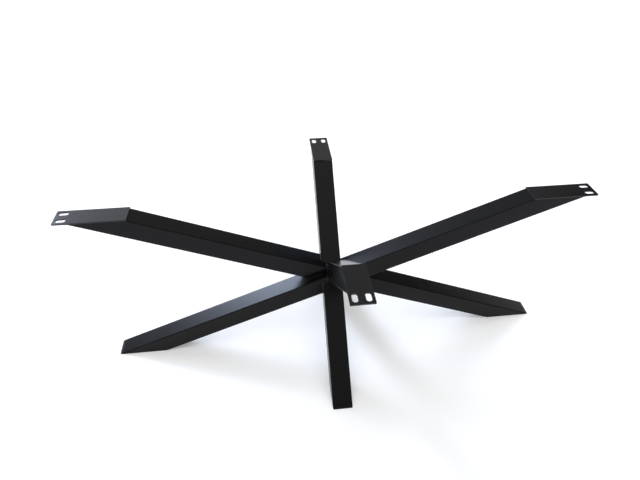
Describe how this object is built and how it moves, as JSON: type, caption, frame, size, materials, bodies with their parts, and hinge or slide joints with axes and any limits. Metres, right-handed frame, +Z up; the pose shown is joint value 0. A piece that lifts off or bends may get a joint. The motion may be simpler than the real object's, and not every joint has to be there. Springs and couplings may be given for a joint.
{
  "type": "matrix table base",
  "caption": "Welded steel table base of square tubes that cross in one node and rise to slotted plates for a table top.",
  "frame": {"origin": "on the floor, at the middle of the base's outline", "axes": "+X along the long pair of tubes, +Y along the short pair to the back, +Z up to the table top"},
  "size_m": [2.018, 1.02, 0.71],
  "materials": {
    "black_coat": "satin black powder coat"
  },
  "bodies": {
    "root": {"left_tube": "black_coat", "right_tube": "black_coat", "back_arm": "black_coat", "front_leg": "black_coat", "front_arm": "black_coat", "back_leg": "black_coat", "left_top_plate": "black_coat", "right_top_plate": "black_coat", "back_top_plate": "black_coat", "front_top_plate": "black_coat", "left_foot_plate": "black_coat", "right_foot_plate": "black_coat", "back_foot_plate": "black_coat", "front_foot_plate": "black_coat"}
  },
  "joints": []
}
